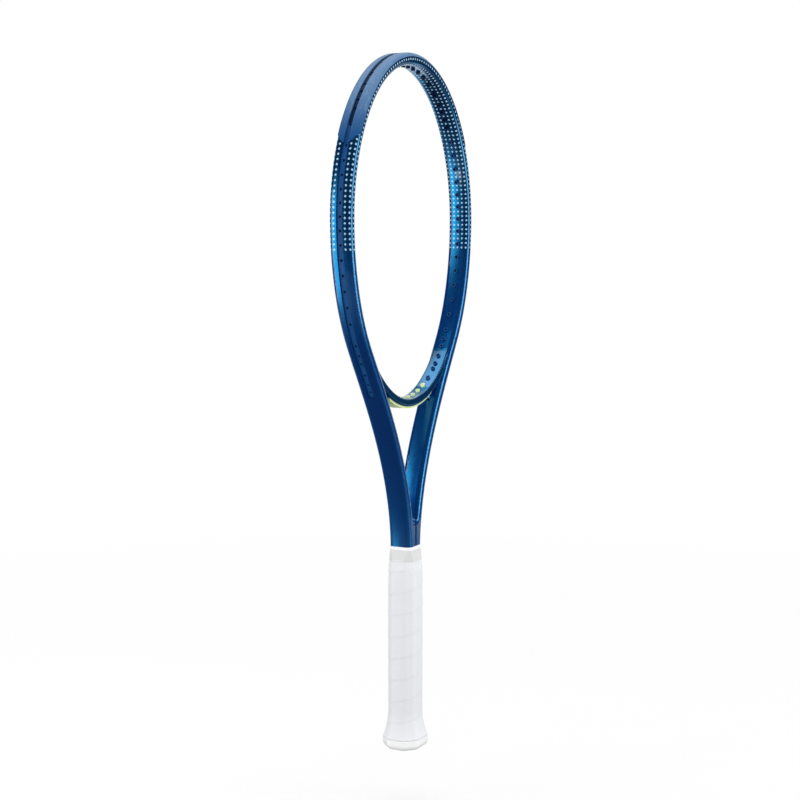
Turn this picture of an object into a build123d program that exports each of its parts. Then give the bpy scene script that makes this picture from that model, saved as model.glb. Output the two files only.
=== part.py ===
"""Tennis racket frame, unstrung: hollow hoop and fork, trim, grommets and wrapped handle.

Frame of reference, millimetres: +Z runs up the racket from the butt end, +X across the head,
and the hitting faces look along -Y and +Y. The origin is the centre of the butt end.
"""
from build123d import *
from math import atan2, cos, degrees, radians, sin, sqrt
import os

os.makedirs("parts", exist_ok=True)

# ---- Head: an oval whose upper and lower halves are half ellipses on one centre ----
racket_length = 685.8
head_width = 262.0
head_lower_height = 185.5
head_upper_height = 159.5
beam_depth = 23.5
tube_width = 11.4
section_radius = 5.0
tube_wall = 1.5
tube_void_radius = 2.6

# ---- Fork: two arms that leave the hoop and run together into the shaft ----
fork_leave_angle = 40.0
shaft_top_z = 196.0
shaft_width = 26.0
fork_outer_handles = (85.7, 59.5)
fork_inner_handles = (92.7, 33.1)
crotch_gap = 6.4
crotch_radius = 2.8
shaft_crease_depth = 1.8

# ---- Throat bridge: slimmer and shallower than the tube, so the arms' rounded edges run past it ----
bridge_half_span = 80.0
bridge_raise = 3.8
bridge_depth = 18.0
bridge_edge_radius = 2.2
bridge_core_half_span = 46.0
throat_strip_half_span = 45.0
throat_strip_width = 13.0
throat_strip_depth = 1.2
throat_strip_proud = 1.8
throat_strip_clearance = 0.15
throat_barrel_stand_out = 1.8

# ---- String channel, bumper guard and grommets ----
channel_width = 6.4
channel_depth = 2.8
channel_end_z = 358.0
strip_thickness = 1.4
strip_side_clearance = 0.1
bumper_lap = 3.2
bumper_seat_depth = 1.2
bumper_proud = 0.6
bumper_groove_width = 4.8
bumper_groove_depth = 1.6
bumper_tip_gap = 0.7
bumper_shoulder_rise = 9.5
bumper_clearance = 0.15
barrel_radius = 2.1
barrel_bore_radius = 1.3
barrel_hole_clearance = 0.15
barrel_stand_out = 1.6
main_pitch = 10.2
main_pitch_growth = 0.018
mains_per_side = 8
throat_mains_per_side = 4
cross_middle_z = 540.5
cross_pitch = 12.1
cross_pitch_growth = 0.018
crosses_below_middle = 11
crosses_above_middle = 8
side_crosses_below = 8
side_crosses_above = 4

# ---- Handle ----
grip_width = 35.1
grip_depth = 30.4
grip_bevel = 8.4
grip_edge_radius = 2.5
grip_thickness = 1.8
grip_bottom_z = 11.0
grip_taper_z = 168.0
grip_step_z = 183.5
grip_top_z = 192.0
grip_full_inset = 0.3
grip_step_inset = 0.9
grip_top_inset = 1.8
pallet_bottom_z = 8.0
pallet_top_inset = 2.9
shank_width = 21.6
shank_depth = 19.4
shank_radius = 4.0
shank_bottom_z = 10.0
end_plug_length = 14.0
end_plug_recess = 1.0
end_plug_clearance = 0.05

# ---- Butt cap and its door ----
cap_top_z = 36.0
flare_shape = ((28.0, 0.8), (19.0, 2.6))
flare_growth = 5.0
cap_wall = 1.5
cap_floor = 4.5
cap_rim_corner_radius = 7.0
cap_rim_bottom_radius = 6.0
cap_rim_top_radius = 0.8
door_width = 25.0
door_depth = 21.0
door_bevel = 6.0
door_thickness = 2.0
door_recess = 0.3
door_ledge = 2.5
door_plug_height = 4.5
door_plug_wall = 1.5
door_clearance = 0.2
door_seat_gap = 0.1

# ---- Grip trim and fasteners ----
tape_thickness = 0.25
collar_bottom_z = 190.5
collar_top_z = 205.0
collar_wall = 0.3
collar_lip_height = 3.0
collar_lip_wall = 0.45
staple_length = 6.0
staple_wire = 0.7
staple_leg = 3.0
staple_spacing = 9.0
staple_sink = 0.1
tack_head_radius = 2.4
tack_head_thickness = 0.6
tack_shank_radius = 0.6
tack_length = 5.0
tack_sink = 0.9

# ---- Helpers for cuts and for picking edges ----
cut_margin = 1.0
pick_margin = 0.01

# ---- Sizes worked out from the ones above ----
half_width = head_width / 2
head_centre_z = racket_length - bumper_proud - head_upper_height
half_beam = beam_depth / 2
void_outer_inset = channel_depth + tube_wall
void_inner_inset = tube_width - tube_wall
void_half_depth = half_beam - tube_wall
drill_length = 44.0
bevel_shrink = 2 - sqrt(2)
tall = 2 * racket_length
shank_bore_width = shank_width / 2 - 2 * tube_wall
shank_bore_depth = shank_depth - 2 * tube_wall
shank_bore_radius = shank_radius - tube_wall


# =====================================================================
# Outlines in the plane of the head
# =====================================================================
def fork_curve(inset, side):
    """Control points of one edge of an arm, from the shaft up to the hoop; side is +1 or -1."""
    share = inset / tube_width
    root_x = shaft_width / 2 * (1 - share)
    lower = fork_outer_handles[0] + share * (fork_inner_handles[0] - fork_outer_handles[0])
    upper = fork_outer_handles[1] + share * (fork_inner_handles[1] - fork_outer_handles[1])
    across = half_width - inset
    down = head_lower_height - inset
    angle = radians(fork_leave_angle)
    end_x = across * cos(angle)
    end_z = head_centre_z - down * sin(angle)
    run_x = across * sin(angle)
    run_z = down * cos(angle)
    run = sqrt(run_x**2 + run_z**2)
    return [
        (side * root_x, shaft_top_z),
        (side * root_x, shaft_top_z + lower),
        (side * (end_x - upper * run_x / run), end_z - upper * run_z / run),
        (side * end_x, end_z),
    ]


def racket_outline(inset, mode=Mode.ADD):
    """Hoop and fork down to the shaft's top, set in by inset from the outer edge."""
    with BuildLine() as outline:
        right = Bezier(*fork_curve(inset, 1))
        EllipticalCenterArc(
            (0, head_centre_z),
            half_width - inset,
            head_lower_height - inset,
            -fork_leave_angle,
            arc_size=fork_leave_angle,
        )
        EllipticalCenterArc(
            (0, head_centre_z), half_width - inset, head_upper_height - inset, 0, arc_size=180
        )
        EllipticalCenterArc(
            (0, head_centre_z),
            half_width - inset,
            head_lower_height - inset,
            180,
            arc_size=fork_leave_angle,
        )
        left = Bezier(*fork_curve(inset, -1))
        if inset < tube_width:
            Line(left @ 0, right @ 0)
    make_face(outline.edges(), mode=mode)


def head_outline(inset, mode=Mode.ADD):
    """The whole oval of the head, set in by inset from the hoop's outer edge."""
    with BuildLine() as outline:
        EllipticalCenterArc(
            (0, head_centre_z), half_width - inset, head_upper_height - inset, 0, arc_size=180
        )
        EllipticalCenterArc(
            (0, head_centre_z), half_width - inset, head_lower_height - inset, 180, arc_size=180
        )
    make_face(outline.edges(), mode=mode)


def hoop_half_height(z):
    """Vertical half axis of the head's outer edge above or below its centre."""
    return head_upper_height if z > head_centre_z else head_lower_height


def hoop_point_at_x(x, top):
    """Height of the hoop's inner edge at x, on its upper or lower side."""
    height = (head_upper_height if top else head_lower_height) - tube_width
    rise = height * sqrt(1 - (x / (half_width - tube_width)) ** 2)
    return head_centre_z + rise if top else head_centre_z - rise


def hoop_point_at_z(z):
    """Distance of the hoop's inner edge from the axis at height z."""
    height = hoop_half_height(z) - tube_width
    return (half_width - tube_width) * sqrt(1 - ((z - head_centre_z) / height) ** 2)


def square_to_hoop(x, z):
    """Angle from +X towards +Z of the line square to the hoop's inner edge at a point."""
    height = hoop_half_height(z) - tube_width
    return degrees(atan2((z - head_centre_z) / height**2, x / (half_width - tube_width) ** 2))


# =====================================================================
# String holes: (x, z, angle) on the hoop's inner edge
# =====================================================================
main_x = [main_pitch * (i + 0.5) * (1 + main_pitch_growth * i) for i in range(mains_per_side)]


def cross_z(k):
    return cross_middle_z + cross_pitch * k * (1 + cross_pitch_growth * abs(k))


def square_hole(x, z):
    """A corner hole, drilled square to the hoop."""
    return (x, z, square_to_hoop(x, z))


straight_mains = main_x[: throat_mains_per_side + 1]
corner_mains = main_x[throat_mains_per_side + 1 :]
side_rows = [cross_z(k) for k in range(-side_crosses_below, side_crosses_above + 1)]
lower_rows = [cross_z(k) for k in range(-crosses_below_middle, -side_crosses_below)]
upper_rows = [cross_z(k) for k in range(side_crosses_above + 1, crosses_above_middle + 1)]

throat_holes = [(x, hoop_point_at_x(x, False), -90) for x in straight_mains[:-1]]
throat_corner_hole = (straight_mains[-1], hoop_point_at_x(straight_mains[-1], False), -90)
bumper_tip_z = side_rows[-1] + barrel_radius + bumper_tip_gap
bumper_shoulder_z = bumper_tip_z + bumper_shoulder_rise
side_holes = [(hoop_point_at_z(z), z, 0) for z in side_rows]
side_holes += [square_hole(hoop_point_at_z(z), z) for z in lower_rows]
side_holes += [square_hole(x, hoop_point_at_x(x, False)) for x in corner_mains]
top_holes = [(x, hoop_point_at_x(x, True), 90) for x in straight_mains]
top_holes += [square_hole(x, hoop_point_at_x(x, True)) for x in corner_mains]
top_holes += [square_hole(hoop_point_at_z(z), z) for z in upper_rows]


def mirrored(holes):
    return holes + [(-x, z, 180 - angle) for x, z, angle in holes]


def drills(holes, radius, mode=Mode.ADD):
    """A long rod along each string hole, centred on the hoop's inner edge."""
    for x, z, angle in holes:
        along = Vector(cos(radians(angle)), 0, sin(radians(angle)))
        with Locations(Plane(origin=(x, 0, z), z_dir=along)):
            Cylinder(radius, drill_length, mode=mode)


all_holes = mirrored(throat_holes + [throat_corner_hole] + side_holes + top_holes)


# =====================================================================
# Outlines that only one or two pieces use
# =====================================================================
def inside_of_tube(mode=Mode.ADD):
    """Face of all that the tube runs round: the head's opening and the gap between the arms."""
    with BuildSketch() as opening:
        racket_outline(tube_width)
        with Locations((0, crotch_z)):
            Rectangle(
                shaft_width,
                crotch_z,
                align=(Align.CENTER, Align.MAX),
                mode=Mode.SUBTRACT,
            )
        corners = opening.vertices().sort_by(Axis.Y)
        fillet(corners[:2], crotch_radius)
    add(opening.sketch, mode=mode)


def fork_gap_height():
    """Height at which the arms' inner edges stand crotch_gap apart."""
    curve = Bezier(*fork_curve(tube_width, 1), mode=Mode.PRIVATE)
    low = 0.0
    high = 1.0
    for _ in range(40):
        middle = (low + high) / 2
        if (curve @ middle).X < crotch_gap / 2:
            low = middle
        else:
            high = middle
    return (curve @ low).Y


crotch_z = fork_gap_height()


def finish_piece(piece, name):
    """Label a finished piece and write its STEP file."""
    piece.part.label = name
    export_step(piece.part, f"parts/{name}.step")


def face_rims(piece, half_depth):
    """Edges round the two faces of a piece half_depth from the middle, above the shaft's foot."""
    rims = piece.edges().filter_by(lambda e: abs(e.center().Y) > half_depth - pick_margin)
    return rims.filter_by(lambda e: e.center().Z > shaft_top_z + pick_margin)


def throat_strip_band(grow, mode=Mode.ADD):
    """Section of the strip along the bridge's underside, grown by a clearance."""
    with BuildSketch() as band:
        head_outline(bridge_raise - throat_strip_proud - grow)
        head_outline(bridge_raise + throat_strip_depth + grow, mode=Mode.SUBTRACT)
        with Locations((0, head_centre_z - head_lower_height)):
            Rectangle(2 * (throat_strip_half_span + grow), head_lower_height, mode=Mode.INTERSECT)
    add(band.sketch, mode=mode)


def door_outline(inset, mode=Mode.ADD):
    """Outline of the opening in the butt end, set in by inset."""
    with BuildSketch() as outline:
        Rectangle(door_width - 2 * inset, door_depth - 2 * inset)
        chamfer(outline.vertices(), door_bevel - inset * bevel_shrink)
    add(outline.sketch, mode=mode)


# =====================================================================
# Frame: the hollow tube and the bridge between its arms
# =====================================================================
with BuildPart() as frame_blank:
    with BuildSketch(Plane.XZ):
        racket_outline(0)
        inside_of_tube(mode=Mode.SUBTRACT)
    extrude(amount=half_beam, both=True)
    fillet(face_rims(frame_blank, half_beam), section_radius)


def edge_band(outer_inset, inner_inset):
    """Strip of the head's plane that follows the outer edge between two insets."""
    racket_outline(outer_inset)
    racket_outline(inner_inset, mode=Mode.SUBTRACT)


def keep_above(z):
    """Cut away everything below height z."""
    with Locations((0, 0, z)):
        Box(tall, tall, tall, align=(Align.CENTER, Align.CENTER, Align.MAX), mode=Mode.SUBTRACT)


def guard_side(grow):
    """Side view of the bumper guard's reach: a point at the string channel, raised shoulders."""
    half_tip = channel_width / 2
    half_side = half_beam + bumper_proud + cut_margin
    tip = bumper_tip_z - grow
    shoulder = bumper_shoulder_z - grow
    Polygon(
        (-half_side, shoulder),
        (-half_tip, tip),
        (half_tip, tip),
        (half_side, shoulder),
        (half_side, racket_length + cut_margin),
        (-half_side, racket_length + cut_margin),
        align=None,
    )


# Space inside the channel, cut into the hoop's and the arms' outer face.
with BuildPart() as channel_space:
    with BuildSketch(Plane.XZ):
        edge_band(-cut_margin, channel_depth)
    extrude(amount=channel_width / 2, both=True)
    keep_above(channel_end_z)


def hoop_shell(inset):
    """Upper half of the hoop as one solid whose outer face and its rounding lie at inset."""
    with BuildPart() as shell:
        with BuildSketch(Plane.XZ):
            head_outline(inset)
            head_outline(tube_width, mode=Mode.SUBTRACT)
            with Locations((0, head_centre_z)):
                Rectangle(tall, tall, align=(Align.CENTER, Align.MIN), mode=Mode.INTERSECT)
        extrude(amount=half_beam - inset, both=True)
        rims = shell.edges().filter_by(GeomType.ELLIPSE).sort_by(SortBy.LENGTH)
        fillet(rims[-2:], section_radius - inset)
    return shell.part


# What stays of the hoop under the bumper guard.
guard_core = hoop_shell(bumper_seat_depth)

# Seat of the bumper guard, sunk into the top of the hoop and round its edges.
with BuildPart() as guard_seat:
    with BuildSketch(Plane.XZ):
        edge_band(-cut_margin, bumper_lap + bumper_clearance)
    extrude(amount=beam_depth, both=True)
    with BuildSketch(Plane.YZ):
        guard_side(bumper_clearance)
    extrude(amount=head_width, both=True, mode=Mode.INTERSECT)
    add(guard_core, mode=Mode.SUBTRACT)

# Every string hole, wide enough for a grommet barrel.
with BuildPart() as string_holes:
    drills(all_holes, barrel_radius + barrel_hole_clearance)

# Zone between the arms that the bridge may fill.
with BuildPart() as bridge_zone:
    with BuildSketch(Plane.XZ):
        racket_outline(tube_width)
        with Locations((0, head_centre_z - head_lower_height / 2)):
            Rectangle(2 * bridge_half_span, head_lower_height, mode=Mode.INTERSECT)
    extrude(amount=beam_depth, both=True)

# The bridge's bar, with rounded edges, before its ends are cut to the arms.
with BuildPart() as bridge_bar:
    with BuildSketch(Plane.XZ):
        head_outline(bridge_raise)
        head_outline(tube_width, mode=Mode.SUBTRACT)
        with Locations((0, head_centre_z)):
            Rectangle(tall, tall, align=(Align.CENTER, Align.MAX), mode=Mode.INTERSECT)
    extrude(amount=bridge_depth / 2, both=True)
    fillet(bridge_bar.edges().filter_by(GeomType.ELLIPSE), bridge_edge_radius)

# Room for the bridge's foam core.
with BuildPart() as core_room:
    with BuildSketch(Plane.XZ):
        head_outline(bridge_raise + tube_wall)
        head_outline(void_inner_inset, mode=Mode.SUBTRACT)
        with Locations((0, head_centre_z - head_lower_height)):
            Rectangle(2 * bridge_core_half_span, head_lower_height, mode=Mode.INTERSECT)
    extrude(amount=bridge_depth / 2 - tube_wall, both=True)

# The hollow inside the tube, rounded like its outside.
with BuildPart() as tube_void:
    with BuildSketch(Plane.XZ):
        edge_band(void_outer_inset, void_inner_inset)
    extrude(amount=void_half_depth, both=True)
    fillet(face_rims(tube_void, void_half_depth), tube_void_radius)

# The two bores of the shank, one below each arm.
with BuildPart() as shank_bores:
    with BuildSketch(Plane.XY.offset(shank_bottom_z)):
        with Locations((shank_width / 4, 0), (-shank_width / 4, 0)):
            RectangleRounded(shank_bore_width, shank_bore_depth, shank_bore_radius)
    extrude(amount=shaft_top_z - shank_bottom_z + tube_wall)


with BuildPart() as hairpin_frame:
    add(frame_blank.part)
    # Slimmer shank that runs down inside the handle.
    with BuildSketch(Plane.XY.offset(shank_bottom_z)):
        RectangleRounded(shank_width, shank_depth, shank_radius)
    extrude(amount=shaft_top_z - shank_bottom_z)
    # Shallow crease where the two arms meet on the shaft's faces.
    with BuildSketch(Plane.XY.offset(shaft_top_z)):
        with Locations((0, half_beam), (0, -half_beam)):
            RegularPolygon(shaft_crease_depth, 4)
    extrude(amount=crotch_z - shaft_top_z + crotch_radius, mode=Mode.SUBTRACT)
    add(tube_void.part, mode=Mode.SUBTRACT)
    add(shank_bores.part, mode=Mode.SUBTRACT)
    add(channel_space.part, mode=Mode.SUBTRACT)
    add(guard_seat.part, mode=Mode.SUBTRACT)
    add(string_holes.part, mode=Mode.SUBTRACT)
finish_piece(hairpin_frame, "hairpin_frame")


with BuildPart() as throat_bridge:
    add(bridge_bar.part)
    add(bridge_zone.part, mode=Mode.INTERSECT)
    add(core_room.part, mode=Mode.SUBTRACT)
    # Seat of the throat grommet strip, along the underside.
    with BuildSketch(Plane.XZ):
        throat_strip_band(throat_strip_clearance)
    extrude(amount=throat_strip_width / 2 + throat_strip_clearance, both=True, mode=Mode.SUBTRACT)
    add(string_holes.part, mode=Mode.SUBTRACT)
finish_piece(throat_bridge, "throat_bridge")


with BuildPart() as bridge_foam_core:
    add(core_room.part)
    add(string_holes.part, mode=Mode.SUBTRACT)
finish_piece(bridge_foam_core, "bridge_foam_core")


# =====================================================================
# Bumper guard and grommets
# =====================================================================
def barrels(holes, outer_inset):
    """Barrels along the given holes, from a strip at outer_inset to just past the inner edge."""
    with BuildPart() as tubes:
        drills(holes, barrel_radius)
        with BuildSketch(Plane.XZ):
            racket_outline(outer_inset)
            head_outline(tube_width + barrel_stand_out, mode=Mode.SUBTRACT)
        extrude(amount=beam_depth, both=True, mode=Mode.INTERSECT)
    return tubes.part


with BuildPart() as bumper_guard:
    add(hoop_shell(-bumper_proud))
    with BuildSketch(Plane.XZ):
        edge_band(-bumper_proud - cut_margin, bumper_lap)
    extrude(amount=beam_depth, both=True, mode=Mode.INTERSECT)
    add(guard_core, mode=Mode.SUBTRACT)
    # Groove that the strings lie in, and the keel that fills the hoop's channel.
    with BuildSketch(Plane.XZ):
        edge_band(-bumper_proud - cut_margin, bumper_groove_depth - bumper_proud)
    extrude(amount=bumper_groove_width / 2, both=True, mode=Mode.SUBTRACT)
    with BuildSketch(Plane.XZ):
        edge_band(bumper_groove_depth - bumper_proud, channel_depth)
    extrude(amount=channel_width / 2 - strip_side_clearance, both=True)
    with BuildSketch(Plane.YZ):
        guard_side(0)
    extrude(amount=head_width, both=True, mode=Mode.INTERSECT)
    add(barrels(mirrored(top_holes), channel_depth - strip_side_clearance))
    drills(mirrored(top_holes), barrel_bore_radius, mode=Mode.SUBTRACT)
finish_piece(bumper_guard, "bumper_guard")


with BuildPart() as grommet_strip_right:
    with BuildSketch(Plane.XZ):
        edge_band(channel_depth - strip_thickness, channel_depth)
    extrude(amount=channel_width / 2 - strip_side_clearance, both=True)
    keep_above(channel_end_z + strip_side_clearance)
    with BuildSketch(Plane.XZ):
        Rectangle(
            head_width,
            bumper_tip_z - strip_side_clearance,
            align=(Align.MIN, Align.MIN),
        )
    extrude(amount=beam_depth, both=True, mode=Mode.INTERSECT)
    add(barrels(side_holes, channel_depth - strip_thickness / 2))
    drills(side_holes, barrel_bore_radius, mode=Mode.SUBTRACT)
finish_piece(grommet_strip_right, "grommet_strip_right")


with BuildPart() as grommet_strip_left:
    mirror(grommet_strip_right.part, about=Plane.YZ)
finish_piece(grommet_strip_left, "grommet_strip_left")


with BuildPart() as throat_grommet_strip:
    with BuildSketch(Plane.XZ):
        throat_strip_band(0)
    extrude(amount=throat_strip_width / 2, both=True)
    drills(mirrored(throat_holes), barrel_radius)
    with BuildSketch(Plane.XZ):
        head_outline(bridge_raise - throat_strip_proud)
        head_outline(tube_width + throat_barrel_stand_out, mode=Mode.SUBTRACT)
    extrude(amount=beam_depth, both=True, mode=Mode.INTERSECT)
    drills(mirrored(throat_holes), barrel_bore_radius, mode=Mode.SUBTRACT)
finish_piece(throat_grommet_strip, "throat_grommet_strip")


# One loose grommet each side, where the bridge meets the arm.
with BuildPart() as corner_grommets:
    drills(mirrored([throat_corner_hole]), barrel_radius)
    with BuildSketch(Plane.XZ):
        head_outline(bridge_raise - barrel_stand_out)
        head_outline(tube_width + barrel_stand_out, mode=Mode.SUBTRACT)
    extrude(amount=beam_depth, both=True, mode=Mode.INTERSECT)
    drills(mirrored([throat_corner_hole]), barrel_bore_radius, mode=Mode.SUBTRACT)
finish_piece(corner_grommets, "corner_grommets")


# =====================================================================
# Handle
# =====================================================================
def octagon(width, depth, bevel, corner_radius, mode=Mode.ADD):
    """Rectangle with bevelled and then rounded corners."""
    with BuildSketch() as outline:
        Rectangle(width, depth)
        chamfer(outline.vertices(), bevel)
        fillet(outline.vertices(), corner_radius)
    add(outline.sketch, mode=mode)


def handle_octagon(inset, corner_radius, mode=Mode.ADD):
    """Section of the handle, set in by inset from the outside of the grip."""
    bevel = grip_bevel - inset * bevel_shrink
    octagon(grip_width - 2 * inset, grip_depth - 2 * inset, bevel, corner_radius, mode=mode)


def shaft_octagon(wall):
    """Section of the shaft's foot with a wall around it, as an octagon with rounded corners."""
    radius = section_radius + wall
    octagon(
        shaft_width + 2 * wall,
        beam_depth + 2 * wall,
        radius * bevel_shrink,
        grip_edge_radius,
    )


def handle_column(stations, corner_radius, ruled=True):
    """Solid through handle sections at (height, inset) stations."""
    with BuildPart() as column:
        for z, inset in stations:
            with BuildSketch(Plane.XY.offset(z)):
                handle_octagon(inset, corner_radius)
        loft(ruled=ruled)
    return column.part


def flare(inset):
    """The flared end of the handle between the rim and the cap's top, set in by inset."""
    stations = [(cap_top_z, inset)]
    stations += [(z, inset - growth) for z, growth in flare_shape]
    stations += [(grip_bottom_z, inset - flare_growth)]
    return handle_column(stations, grip_edge_radius, ruled=False)


pallet_stations = [
    (cap_top_z, grip_thickness),
    (grip_taper_z, grip_thickness),
    (shaft_top_z, pallet_top_inset),
]
grip_stations = [(cap_top_z, 0), (grip_taper_z, 0), (grip_step_z, grip_full_inset)]
grip_end_stations = [(grip_step_z, grip_step_inset), (grip_top_z, grip_top_inset)]
pallet_foot_inset = grip_thickness + cap_wall

with BuildPart() as pallet_body:
    add(handle_column(pallet_stations, grip_edge_radius))
    with BuildSketch(Plane.XY.offset(pallet_bottom_z)):
        handle_octagon(pallet_foot_inset, grip_edge_radius)
    extrude(amount=cap_top_z - pallet_bottom_z)


# Two staples on each broad side, across the cap's wall into the pallet.
staple_z, staple_growth = flare_shape[0]
cap_face_y = grip_depth / 2 + staple_growth - grip_thickness
with BuildPart() as staples:
    for side in (-1, 1):
        crown_y = side * (cap_face_y - staple_sink - staple_wire / 2)
        leg_y = crown_y - side * staple_leg / 2
        for x in (-staple_spacing / 2, staple_spacing / 2):
            with Locations((x, crown_y, staple_z)):
                Box(staple_length, staple_wire, staple_wire)
            leg_x = (staple_length - staple_wire) / 2
            with Locations((x - leg_x, leg_y, staple_z), (x + leg_x, leg_y, staple_z)):
                Box(staple_wire, staple_leg, staple_wire)
finish_piece(staples, "butt_cap_staples")


# One tack pins the start of the wrap to the cap.
tack_z, tack_growth = flare_shape[1]
tack_head_x = grip_width / 2 + tack_growth - tack_sink
with BuildPart() as grip_tack:
    with BuildSketch(Plane.YZ.offset(tack_head_x)):
        with Locations((0, tack_z)):
            Circle(tack_head_radius)
    extrude(amount=-tack_head_thickness)
    with BuildSketch(Plane.YZ.offset(tack_head_x)):
        with Locations((0, tack_z)):
            Circle(tack_shank_radius)
    extrude(amount=-tack_length)
finish_piece(grip_tack, "grip_tack")


with BuildPart() as handle_pallet:
    add(pallet_body.part)
    with BuildSketch(Plane.XY.offset(pallet_bottom_z)):
        RectangleRounded(shank_width, shank_depth, shank_radius)
    extrude(amount=shaft_top_z - pallet_bottom_z, mode=Mode.SUBTRACT)
    add(staples.part, mode=Mode.SUBTRACT)
    add(grip_tack.part, mode=Mode.SUBTRACT)
finish_piece(handle_pallet, "handle_pallet")


with BuildPart() as tube_end_plugs:
    with BuildSketch(Plane.XY.offset(shank_bottom_z + end_plug_recess)):
        with Locations((shank_width / 4, 0), (-shank_width / 4, 0)):
            RectangleRounded(
                shank_bore_width - 2 * end_plug_clearance,
                shank_bore_depth - 2 * end_plug_clearance,
                shank_bore_radius,
            )
    extrude(amount=end_plug_length)
finish_piece(tube_end_plugs, "tube_end_plugs")


with BuildPart() as butt_cap:
    with BuildSketch():
        handle_octagon(-flare_growth, cap_rim_corner_radius)
    extrude(amount=grip_bottom_z)
    fillet(butt_cap.faces().sort_by(Axis.Z)[0].edges(), cap_rim_bottom_radius)
    fillet(butt_cap.faces().sort_by(Axis.Z)[-1].edges(), cap_rim_top_radius)
    add(flare(grip_thickness))
    with BuildSketch(Plane.XY.offset(cap_floor)):
        handle_octagon(pallet_foot_inset, grip_edge_radius)
    extrude(amount=cap_top_z - cap_floor, mode=Mode.SUBTRACT)
    # Door opening: a shallow seat for the door's plate and a hole for its plug.
    with BuildSketch():
        door_outline(0)
    extrude(amount=door_recess + door_thickness, mode=Mode.SUBTRACT)
    with BuildSketch():
        door_outline(door_ledge)
    extrude(amount=cap_floor, mode=Mode.SUBTRACT)
    # Staple slots, open towards the grip, and the tack's hole.
    add(staples.part, mode=Mode.SUBTRACT)
    for side in (-1, 1):
        slot_y = side * (cap_face_y - staple_sink)
        for x in (-staple_spacing / 2, staple_spacing / 2):
            with Locations((x, slot_y, staple_z)):
                Box(staple_length, 2 * staple_wire, staple_wire, mode=Mode.SUBTRACT)
    add(grip_tack.part, mode=Mode.SUBTRACT)
finish_piece(butt_cap, "butt_cap")


with BuildPart() as butt_cap_door:
    with BuildSketch(Plane.XY.offset(door_recess)):
        door_outline(door_clearance)
    extrude(amount=door_thickness - door_seat_gap)
    with BuildSketch(Plane.XY.offset(door_recess)):
        door_outline(door_ledge + door_clearance)
        door_outline(door_ledge + door_clearance + door_plug_wall, mode=Mode.SUBTRACT)
    extrude(amount=door_plug_height)
finish_piece(butt_cap_door, "butt_cap_door")


with BuildPart() as base_grip:
    add(handle_column(grip_stations, grip_edge_radius))
    add(handle_column(grip_end_stations, grip_edge_radius))
    add(flare(0))
    add(pallet_body.part, mode=Mode.SUBTRACT)
    add(flare(grip_thickness), mode=Mode.SUBTRACT)
    add(grip_tack.part, mode=Mode.SUBTRACT)
finish_piece(base_grip, "base_grip")


with BuildPart() as finishing_tape:
    tape_stations = [(z, inset - tape_thickness) for z, inset in grip_end_stations]
    add(handle_column(tape_stations, grip_edge_radius))
    add(handle_column(grip_end_stations, grip_edge_radius), mode=Mode.SUBTRACT)
finish_piece(finishing_tape, "finishing_tape")


# The collar hides the tape's upper end and closes on the shaft with a raised lip.
with BuildPart() as grip_collar:
    with BuildSketch(Plane.XY.offset(collar_bottom_z)):
        handle_octagon(grip_top_inset - tape_thickness - collar_wall, grip_edge_radius)
    with BuildSketch(Plane.XY.offset(collar_top_z - collar_lip_height)):
        shaft_octagon(collar_wall)
    loft(ruled=True)
    with BuildSketch(Plane.XY.offset(collar_top_z - collar_lip_height)):
        shaft_octagon(collar_lip_wall)
    extrude(amount=collar_lip_height)
    add(base_grip.part, mode=Mode.SUBTRACT)
    add(finishing_tape.part, mode=Mode.SUBTRACT)
    add(pallet_body.part, mode=Mode.SUBTRACT)
    add(frame_blank.part, mode=Mode.SUBTRACT)
finish_piece(grip_collar, "grip_collar")
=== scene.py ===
"""The looks of the tennis racket: paint, plastics, the wound grip, the stage, the lights and the camera.

Blender's lengths are metres. Materials work in millimetres, from the object's own coordinates.
"""

import math

import bmesh
import bpy
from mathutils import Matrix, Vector
from mathutils.bvhtree import BVHTree


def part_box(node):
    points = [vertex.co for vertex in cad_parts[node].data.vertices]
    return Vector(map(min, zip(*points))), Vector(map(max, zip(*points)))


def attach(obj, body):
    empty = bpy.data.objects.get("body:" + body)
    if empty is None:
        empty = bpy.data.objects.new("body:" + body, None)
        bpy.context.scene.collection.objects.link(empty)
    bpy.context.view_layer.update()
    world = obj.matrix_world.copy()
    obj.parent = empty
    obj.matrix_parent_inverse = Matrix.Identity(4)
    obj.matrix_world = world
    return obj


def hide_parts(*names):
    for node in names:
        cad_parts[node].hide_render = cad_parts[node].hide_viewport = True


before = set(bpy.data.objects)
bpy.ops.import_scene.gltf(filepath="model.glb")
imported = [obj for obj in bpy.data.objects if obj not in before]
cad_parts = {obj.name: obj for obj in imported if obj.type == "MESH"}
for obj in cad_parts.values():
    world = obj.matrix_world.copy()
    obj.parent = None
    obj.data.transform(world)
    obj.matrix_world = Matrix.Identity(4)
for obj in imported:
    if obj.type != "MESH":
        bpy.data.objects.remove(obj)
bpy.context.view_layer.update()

MM = 0.001

# The centre line of the head's tube, in millimetres: two half ellipses on one centre.
HEAD_CENTRE_Z = 525.7
LINE_HALF_WIDTH = 125.3
LINE_UPPER_HEIGHT = 153.8
LINE_LOWER_HEIGHT = 179.8


# --- Node materials ---------------------------------------------------------------------------


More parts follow.
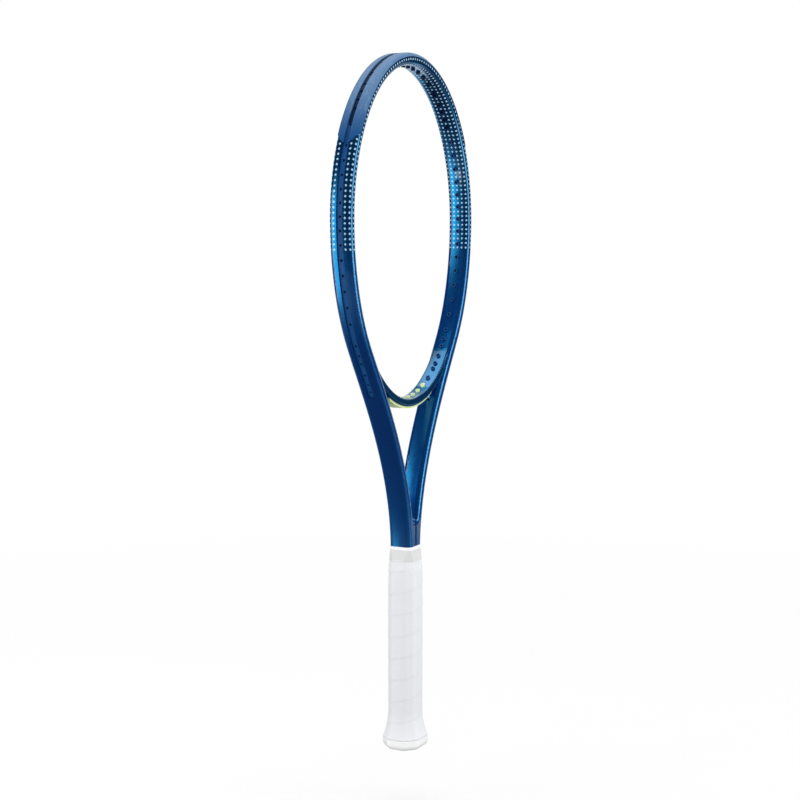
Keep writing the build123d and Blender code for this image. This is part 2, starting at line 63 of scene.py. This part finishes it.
class Value:
    """A number that nodes work out. Python's operators add the nodes."""

    def __init__(self, look, socket):
        self.look = look
        self.socket = socket

    def __add__(self, other):
        return self.look.calc("ADD", self, other)

    __radd__ = __add__

    def __sub__(self, other):
        return self.look.calc("SUBTRACT", self, other)

    def __rsub__(self, other):
        return self.look.calc("SUBTRACT", other, self)

    def __mul__(self, other):
        return self.look.calc("MULTIPLY", self, other)

    def __truediv__(self, other):
        return self.look.calc("DIVIDE", self, other)

    def abs(self):
        return self.look.calc("ABSOLUTE", self)

    def sqrt(self):
        return self.look.calc("SQRT", self)

    def sin(self):
        return self.look.calc("SINE", self)

    def fraction(self):
        return self.look.calc("FRACT", self)

    def above(self, limit):
        return self.look.calc("GREATER_THAN", self, limit)

    def at_least(self, other):
        return self.look.calc("MAXIMUM", self, other)

    def at_most(self, other):
        return self.look.calc("MINIMUM", self, other)

    def fade(self, start, end):
        """0 before start, 1 after end and smooth between them. Start may be the larger."""
        return self.look.fade(self, start, end)


class Look:
    """A material on one Principled shader, with its numbers from the object's coordinates."""

    def __init__(self, name):
        self.material = bpy.data.materials.new(name)
        self.material.use_nodes = True
        self.tree = self.material.node_tree
        self.shader = self.tree.nodes["Principled BSDF"]
        coordinates = self.add("ShaderNodeTexCoord")
        scaled = self.add("ShaderNodeVectorMath", operation="SCALE")
        self.feed(scaled.inputs[0], coordinates.outputs["Object"])
        scaled.inputs["Scale"].default_value = 1.0 / MM
        self.point = scaled.outputs[0]
        parts = self.add("ShaderNodeSeparateXYZ")
        self.feed(parts.inputs[0], self.point)
        self.x, self.y, self.z = (Value(self, socket) for socket in parts.outputs)

    def add(self, kind, **settings):
        node = self.tree.nodes.new(kind)
        for name, value in settings.items():
            setattr(node, name, value)
        return node

    def feed(self, socket, value):
        if isinstance(value, Value):
            value = value.socket
        if isinstance(value, bpy.types.NodeSocket):
            self.tree.links.new(value, socket)
        else:
            socket.default_value = value

    def calc(self, operation, *terms):
        node = self.add("ShaderNodeMath", operation=operation)
        for socket, term in zip(node.inputs, terms):
            self.feed(socket, term)
        return Value(self, node.outputs[0])

    def fade(self, value, start, end):
        node = self.add("ShaderNodeMapRange", interpolation_type="SMOOTHSTEP")
        self.feed(node.inputs["Value"], value)
        self.feed(node.inputs["From Min"], start)
        self.feed(node.inputs["From Max"], end)
        return Value(self, node.outputs[0])

    def noise(self, size, detail=2.0, stretch=(1.0, 1.0, 1.0)):
        """Cloudy noise from 0 to 1, whose blotches are about size millimetres across."""
        spread = self.add("ShaderNodeVectorMath", operation="MULTIPLY")
        self.feed(spread.inputs[0], self.point)
        spread.inputs[1].default_value = stretch
        node = self.add("ShaderNodeTexNoise")
        self.feed(node.inputs["Vector"], spread.outputs[0])
        node.inputs["Scale"].default_value = 1.0 / size
        node.inputs["Detail"].default_value = detail
        return Value(self, node.outputs["Fac"])

    def cells(self, size):
        """Distance to the nearest of scattered points that lie about size millimetres apart."""
        node = self.add("ShaderNodeTexVoronoi", feature="F1")
        self.feed(node.inputs["Vector"], self.point)
        node.inputs["Scale"].default_value = 1.0 / size
        return Value(self, node.outputs["Distance"])

    def mix(self, factor, first, second):
        """One colour turning into another as factor goes from 0 to 1."""
        node = self.add("ShaderNodeMix", data_type="RGBA")
        self.feed(node.inputs[0], factor)
        self.feed(node.inputs[6], opaque(first))
        self.feed(node.inputs[7], opaque(second))
        return node.outputs[2]

    def dress(self, colour, roughness, height=None, **uniform):
        """Colour, roughness and a bump height in millimetres. The other sockets get plain numbers."""
        self.feed(self.shader.inputs["Base Color"], opaque(colour))
        self.feed(self.shader.inputs["Roughness"], roughness)
        for name, value in uniform.items():
            self.feed(self.shader.inputs[name.replace("_", " ").title().replace("Ior", "IOR")], value)
        if height is not None:
            bump = self.add("ShaderNodeBump")
            bump.inputs["Strength"].default_value = 1.0
            bump.inputs["Distance"].default_value = MM
            self.feed(bump.inputs["Height"], height)
            self.feed(self.shader.inputs["Normal"], bump.outputs[0])
        return self.material


def opaque(colour):
    """A colour with its alpha, where it was given as three numbers."""
    if isinstance(colour, tuple) and len(colour) == 3:
        return (*colour, 1.0)
    return colour


# --- The paint and its printed dots -----------------------------------------------------------

DOT_RADIUS = 1.0
DOT_SOFTNESS = 0.15
# The last row of dots lies 52.5 pitches from the tip, and the first lies half a pitch from it.
DOTS_END = 246.9
DOT_ROW_PITCH = DOTS_END / 52.5
# Each column of dots: how far outside the tube's centre line, and how far from the middle plane.
DOT_COLUMNS = ((-5.7, 0.0), (-5.7, 4.6), (-5.11, 9.1), (0.0, 11.75), (4.36, 10.16), (5.7, 5.9))

PAINT_DEEP = (0.0006, 0.0040, 0.042)
PAINT_BLUE = (0.0002, 0.0078, 0.118)
FLAKE_DEEP = (0.0008, 0.0060, 0.055)
FLAKE_BLUE = (0.0003, 0.0118, 0.155)
# The navy turns to blue between these two distances along the head.
DEEP_TO = 200.0
BLUE_FROM = 285.0
PAINT_GLANCE = (0.03, 0.46, 0.95)
PAINT_IOR = 4.5
DOT_WHITE = (0.55, 0.80, 0.98)
CROWN_TILT = 0.0225
CROWN_END = 9.0


def head_outward(look):
    """How far a point lies outside the centre line of the head's tube."""
    dz = look.z - HEAD_CENTRE_Z
    upper = dz.above(0.0)
    height = upper * (LINE_UPPER_HEIGHT - LINE_LOWER_HEIGHT) + LINE_LOWER_HEIGHT
    across = look.x / LINE_HALF_WIDTH
    along = dz / height
    reach = (across * across + along * along).sqrt()
    steep_x = across / LINE_HALF_WIDTH
    steep_z = along / height
    return (reach - 1.0) * reach / (steep_x * steep_x + steep_z * steep_z).sqrt()


def distance_along_head(look):
    """Length along the head's centre line from the tip, by the series for an ellipse's arc."""
    dz = look.z - HEAD_CENTRE_Z
    a = LINE_HALF_WIDTH
    b = LINE_UPPER_HEIGHT
    mean = (a + b) / 2
    root_mean_square = math.sqrt((a * a + b * b) / 2)
    constant = (mean + root_mean_square) / 2
    second = (b - a) / 2
    fourth = mean - constant
    angle = look.calc("ARCTAN2", look.x.abs() / a, dz.at_least(0.0) / b)
    arc = angle * constant - (angle * 2.0).sin() * (second / 2) + (angle * 4.0).sin() * (fourth / 4)
    return arc + (dz * -1.0).at_least(0.0)


def printed_dots(look):
    """1 inside a dot, 0 outside, with a soft edge."""
    run = distance_along_head(look)
    row = ((run / DOT_ROW_PITCH).fraction() - 0.5) * DOT_ROW_PITCH
    outward = head_outward(look)
    side = look.y.abs()
    nearest = None
    for column_outward, column_side in DOT_COLUMNS:
        across = outward - column_outward
        aside = side - column_side
        square = across * across + aside * aside
        nearest = square if nearest is None else nearest.at_most(square)
    distance = (nearest + row * row).sqrt()
    dot = distance.fade(DOT_RADIUS + DOT_SOFTNESS, DOT_RADIUS - DOT_SOFTNESS)
    return dot * (1.0 - run.above(DOTS_END + DOT_ROW_PITCH / 2))


def paint(name, dotted, blueness=1.0):
    """Pearl paint: navy that turns to blue below the dots, as far as blueness lets it, and azure where
    it catches a lamp, under a clear coat. Its height crowns the tube's broad faces a little."""
    look = Look(name)
    flakes = look.cells(0.35)
    clouds = look.noise(18.0, detail=3.0)
    speckle = flakes * 0.55 + clouds * 0.45
    turned = distance_along_head(look).fade(DEEP_TO, BLUE_FROM) * blueness
    navy = look.mix(speckle, PAINT_DEEP, FLAKE_DEEP)
    blue = look.mix(speckle, PAINT_BLUE, FLAKE_BLUE)
    colour = look.mix(turned, navy, blue)
    if dotted:
        colour = look.mix(printed_dots(look), colour, DOT_WHITE)
    aside = look.y.abs().at_most(CROWN_END)
    crown = aside * aside * (-CROWN_TILT / 2)
    height = crown + flakes * 0.004 + clouds * 0.05
    roughness = 0.25 + look.noise(3.0) * 0.08
    glance = opaque(PAINT_GLANCE)
    finish = {"ior": PAINT_IOR, "specular_tint": glance, "coat_weight": 1.0, "coat_roughness": 0.05}
    return look.dress(colour, roughness, height, **finish)


# --- Plastics, rubber, steel and foam -----------------------------------------------------------


def moulded(name, colour, wear_and_lit_top, roughness=0.42, grain=0.012, **uniform):
    """Moulded plastic with a fine grain and faint blotches of the second colour."""
    look = Look(name)
    blotches = look.noise(14.0, detail=4.0)
    fine = look.noise(0.9, detail=3.0)
    shade = look.mix(blotches.fade(0.35, 0.75), colour, wear_and_lit_top)
    rough = roughness - 0.06 + fine * 0.12
    return look.dress(shade, rough, fine * grain, **uniform)


GUARD_DEEP = (0.006, 0.060, 0.200)
# GUARD_PALE is a painted top light towards the tip; GUARD_WORN is the scuffs there.
GUARD_PALE = (0.080, 0.165, 0.300)
GUARD_WORN = (0.110, 0.205, 0.350)
# A painted shade in the bumper's groove: full where it is deep, fainter where it runs shallow below
# GROOVE_END_Z.
GUARD_GROOVE_SHADE = (0.001, 0.008, 0.045)
GUARD_TINT = (0.25, 0.6, 1.0)
# The bumper is painted paler between these heights: a painted top light, where the lamp above falls.
PALE_FROM_Z = 596.0
PALE_BY_Z = 652.0
GROOVE_HALF_WIDTH = 2.4
GROOVE_FLOOR = (5.1, 5.4)
GROOVE_END_Z = 612.0
GROOVE_SHALLOW_SHADE = 0.3


def guard(name):
    """Satin bumper plastic, painted paler towards the tip as a lit top, with scuffs there, and a painted
    shade in the groove along its middle.
    """
    look = Look(name)
    fine = look.noise(0.9, detail=3.0)
    scuffs = look.noise(2.2, detail=4.0, stretch=(0.3, 1.0, 0.3))
    outward = head_outward(look)
    sunk, level = GROOVE_FLOOR
    # Painted shade in the groove, weaker below GROOVE_END_Z where the channel is shallow.
    dark = look.z.fade(GROOVE_END_Z - 1.0, GROOVE_END_Z + 1.0) * (1.0 - GROOVE_SHALLOW_SHADE) + GROOVE_SHALLOW_SHADE
    groove = look.y.abs().fade(GROOVE_HALF_WIDTH + 0.1, GROOVE_HALF_WIDTH - 0.1)
    groove = groove * outward.fade(level, sunk) * dark
    # Painted top light: paler towards the tip. The scuffs, real wear, show only in that part.
    wear_and_lit_top = look.z.fade(PALE_FROM_Z, PALE_BY_Z)
    shade = look.mix(wear_and_lit_top, GUARD_DEEP, GUARD_PALE)
    shade = look.mix(scuffs.fade(0.45, 0.75) * wear_and_lit_top, shade, GUARD_WORN)
    shade = look.mix(groove, shade, GUARD_GROOVE_SHADE)
    height = fine * 0.012 + scuffs * 0.02
    finish = {"specular_ior_level": 0.35, "specular_tint": opaque(GUARD_TINT)}
    return look.dress(shade, 0.42 + fine * 0.12, height, **finish)


STEEL_DARK = (0.50, 0.51, 0.52)
STEEL_BRIGHT = (0.62, 0.63, 0.65)


def steel(name):
    """Bright drawn wire with fine lines along it."""
    look = Look(name)
    lines = look.noise(0.3, detail=2.0, stretch=(1.0, 1.0, 0.05))
    shade = look.mix(lines, STEEL_DARK, STEEL_BRIGHT)
    return look.dress(shade, 0.22 + lines * 0.12, lines * 0.004, metallic=1.0)


# The pore colour is a painted shade in the foam's hollows.
FOAM_PORE_SHADE = (0.62, 0.60, 0.52)
FOAM_SKIN = (0.80, 0.78, 0.70)


def foam(name):
    """Open-celled pale foam."""
    look = Look(name)
    pores = look.cells(0.7)
    # Darker at each pore's centre, where the bump sinks: painted shade.
    shade = look.mix(pores, FOAM_PORE_SHADE, FOAM_SKIN)
    return look.dress(shade, 0.9, pores * 0.18)


COLLAR_LIP_Z = 202.0
COLLAR_BAND = (0.605, 0.615, 0.61)
COLLAR_BAND_PALE = (0.65, 0.66, 0.655)
# A painted highlight along the collar's top lip, where its rounded edge catches the light.
COLLAR_LIP_HIGHLIGHT = (0.86, 0.87, 0.88)
MOULD_LINE_PITCH = 1.3


def collar_rubber(name):
    """White rubber, greyer over its band, with a painted highlight along its top lip and soft mould
    lines.
    """
    look = Look(name)
    # Above COLLAR_LIP_Z the colour is a painted highlight on the rounded lip.
    lip = look.z.fade(COLLAR_LIP_Z - 0.4, COLLAR_LIP_Z)
    fine = look.noise(1.2, detail=3.0)
    lines = ((look.z / MOULD_LINE_PITCH).fraction() - 0.5).abs()
    shade = look.mix(fine, COLLAR_BAND, COLLAR_BAND_PALE)
    shade = look.mix(lip, shade, COLLAR_LIP_HIGHLIGHT)
    return look.dress(shade, 0.5 + fine * 0.1, fine * 0.02 + lines * 0.05 * (1.0 - lip))


TAPE_GREY = (0.69, 0.70, 0.72)
TAPE_PALE = (0.75, 0.76, 0.78)


def tape(name):
    """White vinyl tape, stretched thin, with faint ripples along the turns."""
    look = Look(name)
    ripples = look.noise(2.5, detail=3.0, stretch=(0.25, 0.25, 1.6))
    shade = look.mix(ripples, TAPE_GREY, TAPE_PALE)
    return look.dress(shade, 0.42 + ripples * 0.1, ripples * 0.06)


LEATHER = (0.80, 0.81, 0.835)
LEATHER_SOILED = (0.755, 0.765, 0.79)
LEATHER_GRAIN = (0.70, 0.71, 0.74)


def grip_leather(name):
    """White synthetic leather: a tight grain, faint creases across the turns and slight soiling."""
    look = Look(name)
    grain = look.cells(0.75)
    creases = look.noise(4.0, detail=4.0, stretch=(0.5, 0.5, 1.6))
    soil = look.noise(26.0, detail=4.0)
    shade = look.mix(soil.fade(0.35, 0.75), LEATHER, LEATHER_SOILED)
    shade = look.mix(grain.fade(0.0, 0.35) * 0.12, LEATHER_GRAIN, shade)
    height = grain * 0.035 + creases * 0.10
    return look.dress(shade, 0.52 + creases * 0.14, height, sheen_weight=0.06, sheen_roughness=0.4)


# --- Dressing the CAD nodes -----------------------------------------------------------------------

NAVY = (0.002, 0.052, 0.185)
NAVY_WORN = (0.003, 0.062, 0.215)
LIME = (0.66, 0.82, 0.36)
LIME_WORN = (0.72, 0.85, 0.46)
WHITE = (0.87, 0.872, 0.875)
WHITE_WORN = (0.85, 0.855, 0.86)
PALLET_GREY = (0.10, 0.10, 0.10)
PALLET_WORN = (0.13, 0.13, 0.13)


def wear(material, *nodes):
    """Puts one material on each of the CAD nodes named."""
    for node in nodes:
        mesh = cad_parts[node].data
        mesh.materials.clear()
        mesh.materials.append(material)


navy_plastic = moulded("navy_plastic", NAVY, NAVY_WORN, specular_ior_level=0.2)
white_plastic = moulded("white_plastic", WHITE, WHITE_WORN, roughness=0.36, grain=0.006)

wear(paint("frame_paint", dotted=True), "hairpin_frame")
wear(paint("bridge_paint", dotted=False, blueness=0.0), "throat_bridge")
wear(guard("guard_plastic"), "bumper_guard")
wear(navy_plastic, "grommet_strip_right", "grommet_strip_left", "corner_grommets")
wear(moulded("lime_plastic", LIME, LIME_WORN, roughness=0.4), "throat_grommet_strip")
wear(foam("foam"), "bridge_foam_core", "tube_end_plugs")
wear(moulded("pallet_plastic", PALLET_GREY, PALLET_WORN, roughness=0.5), "handle_pallet")
wear(white_plastic, "butt_cap", "butt_cap_door")
wear(steel("steel"), "butt_cap_staples", "grip_tack")
wear(tape("tape"), "finishing_tape")
wear(collar_rubber("collar_rubber"), "grip_collar")


# --- The wound grip -------------------------------------------------------------------------------

# Metres from here on, like the mesh that they shape.
GRIP_HALF_WIDTH = 0.01755
GRIP_HALF_DEPTH = 0.0152
GRIP_BEVEL = 0.0084
GRIP_CORNER_POINTS = 5
GRIP_FACE_POINTS = 7
GRIP_CORNER_SPREAD = math.radians(5.0)
GRIP_ROW = 0.0007
GRIP_LINING_ROWS = 12
GRIP_END_INSET = 0.00005
# Turns either side of a point over which the surface is averaged, so that the corners read soft.
GRIP_SOFTNESS = tuple(math.radians(3.0 * step) for step in range(-3, 4))
WRAP_PITCH = 0.0219
WRAP_STEP = 0.00026
WRAP_ROLL = 0.10
WRAP_PHASE = 0.20
WRAP_THICKNESS = 0.0013
SEAM_FLATTEN = 0.003


def octagon_angles(half_width, half_depth, bevel):
    """Directions from the axis, close together at the octagon's rounded corners."""
    corners = []
    for quarter in range(4):
        flip_x = 1 if quarter in (0, 3) else -1
        flip_y = 1 if quarter in (0, 1) else -1
        near_x = math.atan2(flip_y * (half_depth - bevel), flip_x * half_width)
        near_y = math.atan2(flip_y * half_depth, flip_x * (half_width - bevel))
        corners += [near_x % math.tau, near_y % math.tau]
    corners.sort()
    angles = []
    for start, end in zip(corners, corners[1:] + [corners[0] + math.tau]):
        for step in range(GRIP_CORNER_POINTS):
            share = step / (GRIP_CORNER_POINTS - 1) * 2 - 1
            angles.append(start + GRIP_CORNER_SPREAD * share)
        first = start + GRIP_CORNER_SPREAD
        span = end - GRIP_CORNER_SPREAD - first
        for step in range(1, GRIP_FACE_POINTS + 1):
            angles.append(first + span * step / (GRIP_FACE_POINTS + 1))
    return angles


def wrap_height(z, angle):
    """How far the wound strip stands: each turn climbs over the last and ends in a rolled edge."""
    turn = ((z / WRAP_PITCH) - angle / math.tau + WRAP_PHASE) % 1.0
    climb = WRAP_STEP * (1.0 - turn)
    if turn > 1.0 - WRAP_ROLL:
        roll = (turn - 1.0 + WRAP_ROLL) / WRAP_ROLL
        climb += WRAP_STEP * roll * roll * (3 - 2 * roll)
    return climb - WRAP_STEP


def outward_at(angle):
    """The direction away from the handle's axis at an angle around it."""
    return Vector((math.cos(angle), math.sin(angle), 0.0))


def surface_radius(tree, reach, z, angle):
    """How far the CAD surface lies from the handle's axis."""
    outward = outward_at(angle)
    hit = tree.ray_cast(outward * reach + Vector((0, 0, z)), -outward)[0]
    return Vector((hit.x, hit.y)).length


def soft_radius(tree, reach, z, angle):
    """The same, averaged over a few degrees either side."""
    total = sum(surface_radius(tree, reach, z, angle + turn) for turn in GRIP_SOFTNESS)
    return total / len(GRIP_SOFTNESS)


def band(mesh, lower, upper, flip=False):
    """Faces between two rings of points."""
    for i in range(len(lower)):
        j = (i + 1) % len(lower)
        corners = (lower[i], lower[j], upper[j], upper[i])
        mesh.faces.new(reversed(corners) if flip else corners)


def wound_grip(node):
    """The grip as its own closed mesh: the CAD surface with the strip's overlaps wound up it."""
    low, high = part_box(node)
    tree = BVHTree.FromObject(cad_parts[node], bpy.context.evaluated_depsgraph_get())
    reach = 2 * high.x
    angles = octagon_angles(GRIP_HALF_WIDTH, GRIP_HALF_DEPTH, GRIP_BEVEL)
    rows = max(2, round((high.z - low.z) / GRIP_ROW))
    mesh = bmesh.new()
    rings = []
    inner = []
    for row in range(rows + 1):
        z = low.z + GRIP_END_INSET + (high.z - low.z - 2 * GRIP_END_INSET) * row / rows
        level = Vector((0, 0, z))
        ease = min(1.0, min(z - low.z, high.z - z) / SEAM_FLATTEN)
        lined = row % GRIP_LINING_ROWS == 0 or row == rows
        ring = []
        lining = []
        for angle in angles:
            outward = outward_at(angle)
            radius = soft_radius(tree, reach, z, angle)
            ring.append(mesh.verts.new(outward * (radius + wrap_height(z, angle) * ease) + level))
            if lined:
                lining.append(mesh.verts.new(outward * (radius - WRAP_THICKNESS) + level))
        rings.append(ring)
        if lined:
            inner.append(lining)
    for lower, upper in zip(rings, rings[1:]):
        band(mesh, lower, upper)
    for lower, upper in zip(inner, inner[1:]):
        band(mesh, lower, upper, flip=True)
    band(mesh, inner[0], rings[0])
    band(mesh, rings[-1], inner[-1])
    data = bpy.data.meshes.new("wound_grip")
    mesh.to_mesh(data)
    mesh.free()
    data.shade_smooth()
    piece = bpy.data.objects.new("wound_grip", data)
    bpy.context.scene.collection.objects.link(piece)
    data.materials.append(grip_leather("grip_leather"))
    return piece


grip = wound_grip("base_grip")
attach(grip, "racket")
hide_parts("base_grip")


# --- Stage, lights and camera ---------------------------------------------------------------------

BACKDROP_DIRECTION = Vector((0.8875, 0.4609, 0.0))

FLOOR_DROP = 0.055
FLOOR_RADIUS = 1.6
# What the camera sees: the shade and the glow that lifts it to white, over a range of distances.
FLOOR_FADE = (0.5, 1.5)
FLOOR_SHADE = (0.30, 0.0)
FLOOR_LIFT = (0.58, 1.0)
# What the object gets: bounced light, and a mirrored floor that turns pale far out and behind.
FLOOR_BOUNCE = 0.42
FLOOR_MIRROR_REACH = (0.55, 0.85)
FLOOR_MIRROR = (0.03, 0.12)
FAR_MIRROR_REACH = (0.65, 0.95)
FAR_MIRROR = 0.7


def ray_share(tree, *kinds):
    """1 where any of those kinds of ray looks, 0 otherwise."""
    path = tree.nodes.new("ShaderNodeLightPath")
    total = None
    for kind in kinds:
        socket = path.outputs[kind]
        if total is None:
            total = socket
            continue
        join = tree.nodes.new("ShaderNodeMath")
        join.operation = "MAXIMUM"
        tree.links.new(total, join.inputs[0])
        tree.links.new(socket, join.inputs[1])
        total = join.outputs[0]
    return total


def map_range(tree, value, source, target):
    """A number carried from one range to another, where an end of the target may be a socket."""
    node = tree.nodes.new("ShaderNodeMapRange")
    tree.links.new(value, node.inputs["Value"])
    node.inputs["From Min"].default_value, node.inputs["From Max"].default_value = source
    for name, end in zip(("To Min", "To Max"), target):
        if isinstance(end, bpy.types.NodeSocket):
            tree.links.new(end, node.inputs[name])
        else:
            node.inputs[name].default_value = end
    return node.outputs[0]


def share_along(tree, output, direction):
    """How far a point or a ray from a texture output runs along a direction."""
    coordinates = tree.nodes.new("ShaderNodeTexCoord")
    product = tree.nodes.new("ShaderNodeVectorMath")
    product.operation = "DOT_PRODUCT"
    product.inputs[1].default_value = direction
    tree.links.new(coordinates.outputs[output], product.inputs[0])
    return product.outputs["Value"]


def floor_material():
    """Pale, and white to the camera. In reflections, dark near the racket and pale far behind it."""
    material = bpy.data.materials.new("floor")
    material.use_nodes = True
    tree = material.node_tree
    shader = tree.nodes["Principled BSDF"]
    shader.inputs["Roughness"].default_value = 0.9
    shader.inputs["Specular IOR Level"].default_value = 0.0
    shader.inputs["Emission Color"].default_value = (1, 1, 1, 1)
    coordinates = tree.nodes.new("ShaderNodeTexCoord")
    radius = tree.nodes.new("ShaderNodeVectorMath")
    radius.operation = "LENGTH"
    tree.links.new(coordinates.outputs["Object"], radius.inputs[0])
    camera_ray = ray_share(tree, "Is Camera Ray")
    shade = map_range(tree, radius.outputs["Value"], FLOOR_FADE, FLOOR_SHADE)
    lift = map_range(tree, radius.outputs["Value"], FLOOR_FADE, FLOOR_LIFT)
    behind = share_along(tree, "Object", BACKDROP_DIRECTION)
    near_mirror = map_range(tree, radius.outputs["Value"], FLOOR_MIRROR_REACH, FLOOR_MIRROR)
    mirrored = map_range(tree, behind, FAR_MIRROR_REACH, (near_mirror, FAR_MIRROR))
    glossy_ray = ray_share(tree, "Is Glossy Ray", "Is Transmission Ray")
    unseen_shade = map_range(tree, glossy_ray, (0.0, 1.0), (FLOOR_BOUNCE, mirrored))
    seen_shade = map_range(tree, camera_ray, (0.0, 1.0), (unseen_shade, shade))
    seen_lift = map_range(tree, camera_ray, (0.0, 1.0), (0.0, lift))
    tree.links.new(seen_shade, shader.inputs["Base Color"])
    tree.links.new(seen_lift, shader.inputs["Emission Strength"])
    return material


def make_floor():
    """A round floor below the racket that keeps its soft shadow."""
    mesh = bmesh.new()
    bmesh.ops.create_circle(mesh, cap_ends=True, segments=96, radius=FLOOR_RADIUS)
    data = bpy.data.meshes.new("floor")
    mesh.to_mesh(data)
    mesh.free()
    data.materials.append(floor_material())
    floor = bpy.data.objects.new("floor", data)
    floor.location.z = -FLOOR_DROP
    bpy.context.scene.collection.objects.link(floor)


BACKDROP_EDGE = (0.66, 0.90)
STUDIO_GREY = 0.015
FILL_DIRECTION = Vector((-0.5, -0.866, 0.0))
FILL = (0.42, 1.45)


def make_world():
    """White to the camera and a soft fill on the object, stronger from the front right.
    In reflections, a white backdrop behind the object and a dim studio elsewhere."""
    world = bpy.data.worlds.new("studio")
    bpy.context.scene.world = world
    world.use_nodes = True
    tree = world.node_tree
    background = tree.nodes["Background"]
    background.inputs["Color"].default_value = (1, 1, 1, 1)
    facing_back = share_along(tree, "Generated", BACKDROP_DIRECTION)
    facing_fill = share_along(tree, "Generated", FILL_DIRECTION)
    backdrop = map_range(tree, facing_back, BACKDROP_EDGE, (STUDIO_GREY, 1.0))
    fill = map_range(tree, facing_fill, (-1.0, 1.0), FILL)
    reflected = tree.nodes.new("ShaderNodeMix")
    tree.links.new(ray_share(tree, "Is Glossy Ray", "Is Transmission Ray"), reflected.inputs[0])
    tree.links.new(fill, reflected.inputs[2])
    tree.links.new(backdrop, reflected.inputs[3])
    seen = tree.nodes.new("ShaderNodeMix")
    seen.inputs[3].default_value = 1.0
    tree.links.new(ray_share(tree, "Is Camera Ray"), seen.inputs[0])
    tree.links.new(reflected.outputs[0], seen.inputs[2])
    tree.links.new(seen.outputs[0], background.inputs["Strength"])


def softbox(name, place, target, width, height, radiance):
    """A rectangular area lamp of even radiance, aimed at a point and hidden from the camera."""
    lamp = bpy.data.lights.new(name, "AREA")
    lamp.shape = "RECTANGLE"
    lamp.size = width
    lamp.size_y = height
    lamp.energy = math.pi * width * height * radiance
    holder = bpy.data.objects.new(name, lamp)
    holder.location = place
    holder.rotation_euler = (Vector(target) - Vector(place)).to_track_quat("-Z", "Y").to_euler()
    holder.visible_camera = False
    bpy.context.scene.collection.objects.link(holder)


make_floor()
make_world()
softbox("left_softbox", (-0.70, 0.78, 0.365), (0, 0, 0.365), 0.63, 0.83, 2.6)
softbox("right_softbox", (0.33, -1.46, 0.60), (0, 0, 0.60), 0.6, 1.3, 2.6)
softbox("top_softbox", (0.40, 0.30, 2.30), (0.1, 0.1, 0.4), 2.2, 2.2, 1.6)

CAMERA_PLACE = (-1.39198, -0.71723, 0.51292)
CAMERA_FORWARD = Vector((0.88257693, 0.45861073, -0.10360583))
CAMERA_LENS = 71.875
CAMERA_SENSOR = 36.0

camera_data = bpy.data.cameras.new("camera")
camera_data.lens = CAMERA_LENS
camera_data.sensor_width = CAMERA_SENSOR
camera = bpy.data.objects.new("camera", camera_data)
camera.location = CAMERA_PLACE
camera.rotation_euler = CAMERA_FORWARD.to_track_quat("-Z", "Y").to_euler()
bpy.context.scene.collection.objects.link(camera)
bpy.context.scene.camera = camera
bpy.context.scene.view_settings.view_transform = "Standard"
